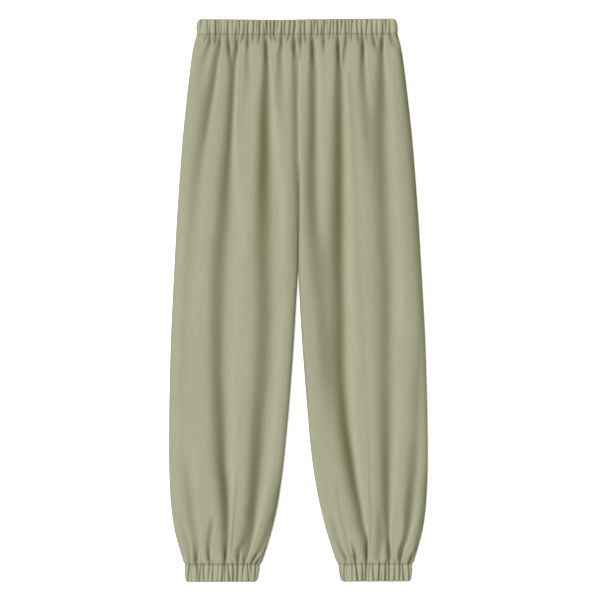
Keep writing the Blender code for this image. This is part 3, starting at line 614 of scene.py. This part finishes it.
def add_piece(name, shape, material, smooth=True):
    """A finished object from a bmesh, standing at the origin."""
    mesh = bpy.data.meshes.new(name)
    shape.to_mesh(mesh)
    shape.free()
    if smooth:
        mesh.shade_smooth()
    mesh.materials.append(material)
    piece = bpy.data.objects.new(name, mesh)
    bpy.context.scene.collection.objects.link(piece)
    return piece


def read_points(mesh):
    points = np.empty(len(mesh.vertices) * 3)
    mesh.vertices.foreach_get("co", points)
    return points.reshape(-1, 3)


def place_points(mesh, points, fold=None):
    """Moves the mesh's points, and stores the painted shade at each point in the 'fold' attribute."""
    mesh.vertices.foreach_set("co", np.ascontiguousarray(points, dtype=np.float32).ravel())
    if fold is not None:
        layer = mesh.attributes.new("fold", "FLOAT", "POINT")
        layer.data.foreach_set("value", np.ascontiguousarray(fold, dtype=np.float32))
    mesh.update()


def closed_up(piece):
    """Joins the edges of a sheet that has been bent round until they meet."""
    shape = bmesh.new()
    shape.from_mesh(piece.data)
    bmesh.ops.remove_doubles(shape, verts=shape.verts, dist=0.00001)
    bmesh.ops.recalc_face_normals(shape, faces=shape.faces)
    shape.to_mesh(piece.data)
    shape.free()
    return piece


def cloth_panel(name, side, front, creases, material):
    """A leg panel, from its centre seam and inseam to its side seam."""
    columns, rows = FRONT_GRID if front else BACK_GRID
    shape = bmesh.new()
    shape.loops.layers.uv.new("UVMap")
    bmesh.ops.create_grid(shape, x_segments=columns, y_segments=rows, size=0.5, calc_uvs=True)
    if (side > 0) != front:
        bmesh.ops.reverse_faces(shape, faces=shape.faces)
    bmesh.ops.reverse_faces(shape, faces=shape.faces)
    piece = add_piece(name, shape, material)
    shares = read_points(piece.data)
    across, down = panel_places(shares[:, 0] + 0.5, shares[:, 1] + 0.5, side, front)
    surface = front_surface if front else back_surface
    height, fold = surface(across, down, side, creases)
    place_points(piece.data, np.column_stack((across, LENGTH / 2 - down, height)), fold)
    for corner in piece.data.uv_layers.active.data:
        corner.uv = (corner.uv[0] * 0.26, corner.uv[1] * 0.95)
    wall = piece.modifiers.new("cloth wall", "SOLIDIFY")
    wall.thickness = CLOTH_WALL
    wall.offset = -1
    return piece


def ring_points(ring, along, down, out):
    """Places on a ring: along its loop, down the garment, and so far out from its gathered surface, with the painted
    shade of its gathers and its stitching groove.
    """
    flat, whole = ring_loop(ring)
    radius = RING_HEIGHT / 2
    low, high = ring_edges(ring, down)
    first, last = low + radius, high - radius
    height = ring.rows[-1].down - ring.rows[0].down
    share = from_free_edge(ring, down)
    along = along % whole
    arc = math.pi * radius
    across = first + along * (last - first) / flat
    normal_x, normal_z = np.zeros_like(across), np.ones_like(across)
    middle_z = np.full_like(across, radius)
    at_high = (along > flat) & (along < flat + arc)
    behind = (along >= flat + arc) & (along <= 2 * flat + arc)
    at_low = along > 2 * flat + arc
    turn = np.where(at_high, (along - flat) / radius, 0) + np.where(at_low, (along - 2 * flat) / radius, 0)
    turn += np.where(behind, math.pi, 0)
    across = np.where(at_high, last, across)
    across = np.where(behind, last - (along - flat - arc) * (last - first) / flat, across)
    across = np.where(at_low, first, across)
    normal_x, normal_z = np.sin(turn), np.cos(turn)
    valley = ring_valleys(ring, along, down)
    ends = 1 - 0.6 * np.abs(normal_x)
    groove = 0.0004 * np.exp(-(((share - 0.955) * height / 0.0012) ** 2))
    pillow = 0.0003 * (1 - np.sin(np.pi * np.clip(share, 0, 1)))
    corner = 0.0026 * (1 - np.sqrt(1 - np.clip((0.2 - share) / 0.2, 0, 0.98) ** 2)) * np.abs(normal_x)
    reach = radius - valley * ends - groove - pillow - corner + out
    free_edge = smooth_step((0.3 - share) / 0.3)
    down = down + np.where(ring.rows[0].down == 0, 1, -1) * 0.16 * (valley - 0.0014) * free_edge
    if ring is WAIST_RING:
        down += 0.0014 * free_edge * np.exp(-(((across + 0.035) / 0.07) ** 2))
    points = np.column_stack((across + reach * normal_x, LENGTH / 2 - down, middle_z + reach * normal_z))
    # The gathers' valleys and the stitching groove are painted darker: painted shade
    return points, painted_shade_of((valley + 0.6 * groove) / 0.0041)


def gathered_ring(name, ring, material):
    """An elastic casing: a sheet rolled into a thin closed strip, along the flattened, gathered loop."""
    flat, whole = ring_loop(ring)
    shape = bmesh.new()
    bmesh.ops.create_grid(shape, x_segments=ring.steps, y_segments=CASING_STEPS, size=0.5)
    piece = add_piece(name, shape, material)
    shares = read_points(piece.data) + 0.5
    along, turn = whole * shares[:, 0], 2 * np.pi * shares[:, 1]
    thick = np.sign(np.cos(turn)) * np.abs(np.cos(turn)) ** 0.3
    high = np.sign(np.sin(turn)) * np.abs(np.sin(turn)) ** 0.9
    top, bottom = ring.rows[0].down, ring.rows[-1].down
    down = top + (0.5 - 0.5 * high) * (bottom - top)
    placed, fold = ring_points(ring, along, down, (thick - 1) * CASING_WALL / 2)
    place_points(piece.data, placed, fold)
    return closed_up(piece)


def stitching(name, ring, share, pitch, material):
    """A round of small stitches, sunk in the groove by a ring's seam."""
    flat, whole = ring_loop(ring)
    count = int(whole / pitch)
    top, bottom = ring.rows[0].down, ring.rows[-1].down
    chances = chances_of(count, ring.seed + 50)
    shape = bmesh.new()
    for number in range(count):
        chance = chances[number]
        at = (number + 0.5 + 0.15 * chance[0]) * pitch
        down = top + (bottom - top) * share + 0.0004 * chance[1]
        size = Matrix.Diagonal((pitch * (0.33 + 0.07 * chance[2]), 0.00045, 0.0004, 1))
        place = Matrix.Translation((at, down, 0.0)) @ Matrix.Rotation(0.4 * chance[3], 4, "Z") @ size
        bmesh.ops.create_uvsphere(shape, u_segments=6, v_segments=4, radius=1.0, matrix=place)
    piece = add_piece(name, shape, material)
    points = read_points(piece.data)
    placed, fold = ring_points(ring, points[:, 0], points[:, 1], points[:, 2])
    place_points(piece.data, placed, fold)
    return piece


def weave_group():
    """Shared by the cloths: the fine threads' height, and an uneven tone that runs along the legs."""
    group = bpy.data.node_groups.new("cotton weave", "ShaderNodeTree")
    group.interface.new_socket("Height", in_out="OUTPUT", socket_type="NodeSocketFloat")
    group.interface.new_socket("Tone", in_out="OUTPUT", socket_type="NodeSocketFloat")
    nodes, links = group.nodes, group.links
    end = nodes.new("NodeGroupOutput")
    place = nodes.new("ShaderNodeTexCoord")
    threads = []
    for direction in ("X", "Y"):
        wave = nodes.new("ShaderNodeTexWave")
        wave.bands_direction = direction
        wave.inputs["Scale"].default_value = 560.0
        wave.inputs["Distortion"].default_value = 1.2
        wave.inputs["Detail"].default_value = 1.0
        wave.inputs["Detail Scale"].default_value = 0.6
        links.new(place.outputs["Object"], wave.inputs["Vector"])
        threads.append(wave)
    crossing = nodes.new("ShaderNodeMath")
    crossing.operation = "ADD"
    links.new(threads[0].outputs["Fac"], crossing.inputs[0])
    links.new(threads[1].outputs["Fac"], crossing.inputs[1])
    links.new(crossing.outputs[0], end.inputs["Height"])
    stretched = nodes.new("ShaderNodeMapping")
    stretched.inputs["Scale"].default_value = (1.0, 0.06, 1.0)
    links.new(place.outputs["Object"], stretched.inputs["Vector"])
    streaks = nodes.new("ShaderNodeTexNoise")
    streaks.inputs["Scale"].default_value = 420.0
    streaks.inputs["Detail"].default_value = 3.0
    links.new(stretched.outputs["Vector"], streaks.inputs["Vector"])
    grain = nodes.new("ShaderNodeTexNoise")
    grain.inputs["Scale"].default_value = 900.0
    grain.inputs["Detail"].default_value = 2.0
    links.new(place.outputs["Object"], grain.inputs["Vector"])
    mixed = nodes.new("ShaderNodeMath")
    mixed.operation = "ADD"
    links.new(streaks.outputs["Fac"], mixed.inputs[0])
    links.new(grain.outputs["Fac"], mixed.inputs[1])
    links.new(mixed.outputs[0], end.inputs["Tone"])
    return group


def cloth_material(name, colour, weave):
    """Matt sage cotton with painted shade: darker and more olive where the 'fold' attribute says it lies deep in a
    fold, and a painted highlight where that is below 0.
    """
    material = bpy.data.materials.new(name)
    material.use_nodes = True
    nodes, links = material.node_tree.nodes, material.node_tree.links
    surface = nodes["Principled BSDF"]
    surface.inputs["Roughness"].default_value = 0.88
    surface.inputs["Specular IOR Level"].default_value = 0.2
    surface.inputs["Sheen Weight"].default_value = 0.08
    surface.inputs["Sheen Roughness"].default_value = 0.5
    shared = nodes.new("ShaderNodeGroup")
    shared.node_tree = weave
    # Painted shade: the 'fold' attribute mixes the colour towards SHADE_COLOUR, and below 0 past the cloth's colour
    # into a painted highlight
    fold = nodes.new("ShaderNodeAttribute")
    fold.attribute_name = "fold"
    deep = nodes.new("ShaderNodeMapRange")
    deep.inputs["From Min"].default_value = 0.03
    deep.inputs["From Max"].default_value = 0.90
    deep.inputs["To Min"].default_value = 0.0
    deep.inputs["To Max"].default_value = 1.0
    deep.clamp = False
    links.new(fold.outputs["Fac"], deep.inputs["Value"])
    shade = nodes.new("ShaderNodeMix")
    shade.data_type = "RGBA"
    shade.clamp_factor = False
    shade.inputs["A"].default_value = colour
    shade.inputs["B"].default_value = SHADE_COLOUR
    links.new(deep.outputs["Result"], shade.inputs["Factor"])
    tone = nodes.new("ShaderNodeMapRange")
    tone.inputs["From Min"].default_value = 0.6
    tone.inputs["From Max"].default_value = 1.4
    tone.inputs["To Min"].default_value = 0.94
    tone.inputs["To Max"].default_value = 1.06
    links.new(shared.outputs["Tone"], tone.inputs["Value"])
    toned = nodes.new("ShaderNodeMix")
    toned.data_type = "RGBA"
    toned.blend_type = "MULTIPLY"
    toned.inputs["Factor"].default_value = 1.0
    links.new(shade.outputs["Result"], toned.inputs["A"])
    links.new(tone.outputs["Result"], toned.inputs["B"])
    links.new(toned.outputs["Result"], surface.inputs["Base Color"])
    bump = nodes.new("ShaderNodeBump")
    bump.inputs["Strength"].default_value = 0.25
    bump.inputs["Distance"].default_value = 0.00012
    links.new(shared.outputs["Height"], bump.inputs["Height"])
    links.new(bump.outputs["Normal"], surface.inputs["Normal"])
    return material


def plain_material(name, colour, roughness, glow=0.0):
    material = bpy.data.materials.new(name)
    material.use_nodes = True
    surface = material.node_tree.nodes["Principled BSDF"]
    surface.inputs["Base Color"].default_value = colour
    surface.inputs["Roughness"].default_value = roughness
    surface.inputs["Specular IOR Level"].default_value = 0.1
    surface.inputs["Emission Color"].default_value = colour
    surface.inputs["Emission Strength"].default_value = glow
    return material


def make_floor():
    shape = bmesh.new()
    bmesh.ops.create_grid(shape, x_segments=1, y_segments=1, size=20.0)
    floor = add_piece("floor", shape, plain_material("pale floor", FLOOR_COLOUR, 0.9, 0.3), smooth=False)
    floor.location.z = -0.0004
    return floor


def make_lights():
    """A broad key light from the upper left, and even light from all round."""
    light = bpy.data.lights.new("key light", "SUN")
    light.energy = 3.6
    light.angle = math.radians(30)
    lamp = bpy.data.objects.new("key light", light)
    lamp.location = (-0.60, 0.30, 1.90)
    lamp.rotation_euler = (-lamp.location).to_track_quat("-Z", "Y").to_euler()
    bpy.context.scene.collection.objects.link(lamp)
    world = bpy.data.worlds.new("soft surroundings")
    world.use_nodes = True
    world.node_tree.nodes["Background"].inputs["Color"].default_value = (1.0, 1.0, 0.86, 1.0)
    world.node_tree.nodes["Background"].inputs["Strength"].default_value = 0.36
    bpy.context.scene.world = world
    bpy.context.scene.view_settings.view_transform = "Standard"


def make_camera():
    """Straight above the garment, with the waist at the top of the picture."""
    camera = bpy.data.cameras.new("camera")
    camera.lens = 100.0
    camera.sensor_width = 36.0
    seat = bpy.data.objects.new("camera", camera)
    seat.location = (0.0039, 0.0005, 0.012 + 1.0656 * 100 / 36)
    seat.rotation_euler.z = math.radians(-0.18)
    bpy.context.scene.collection.objects.link(seat)
    bpy.context.scene.camera = seat
    return seat


def make_garment():
    weave = weave_group()
    leg_cloth = cloth_material("leg cloth", CLOTH_COLOUR, weave)
    # The casing's cloth is painted lighter than the legs' cloth: painted light
    lit_casing_cloth = cloth_material("casing cloth painted lighter", LIT_CASING_COLOUR, weave)
    thread = plain_material("sewing thread", THREAD_COLOUR, 0.8)
    panels = (
        ("front_right", -1, True, RIGHT_CREASES),
        ("front_left", 1, True, LEFT_CREASES),
        ("back_right", -1, False, RIGHT_BACK_CREASES),
        ("back_left", 1, False, LEFT_BACK_CREASES),
    )
    for node, side, front, creases in panels:
        piece = cloth_panel(node + "_cloth", side, front, creases, leg_cloth)
        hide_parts(node)
        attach(piece, "root")
    rings = (
        ("waistband", WAIST_RING, 0.955),
        ("cuff_right", CUFF_RINGS[-1], 0.045),
        ("cuff_left", CUFF_RINGS[1], 0.045),
    )
    for node, ring, stitch_share in rings:
        piece = gathered_ring(node + "_cloth", ring, lit_casing_cloth)
        stitches = stitching(node + "_stitching", ring, stitch_share, 0.0036, thread)
        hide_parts(node)
        for part in (piece, stitches):
            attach(part, "root")
        flat, whole = ring_loop(ring)


make_garment()
make_floor()
make_lights()
make_camera()
